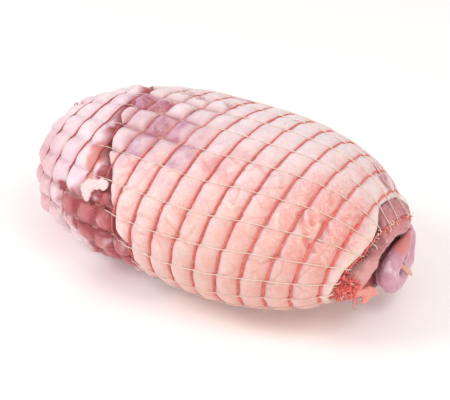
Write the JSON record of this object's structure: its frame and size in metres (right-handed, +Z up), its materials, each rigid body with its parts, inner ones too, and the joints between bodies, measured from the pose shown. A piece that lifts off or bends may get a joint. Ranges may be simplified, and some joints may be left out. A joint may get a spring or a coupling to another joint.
{
  "type": "netted lamb shoulder",
  "caption": "Raw boned lamb shoulder rolled into a plump barrel, its pale fat cap over dark lean, a fold of meat at the cut end, held tight by a stretchy net of red hoops and white threads.",
  "frame": {"origin": "centre of the bounding box's base, on the surface that the roll lies on", "axes": "+X along the roll towards its cut end, +Z up, fat cap facing -Y"},
  "size_m": [0.2386, 0.1396, 0.0952],
  "materials": {
    "raw_meat": "moist raw fat and lean",
    "net_cord": "twisted elastic yarn"
  },
  "bodies": {
    "root": {"meat_roll": "raw_meat", "net": "net_cord"}
  },
  "joints": []
}
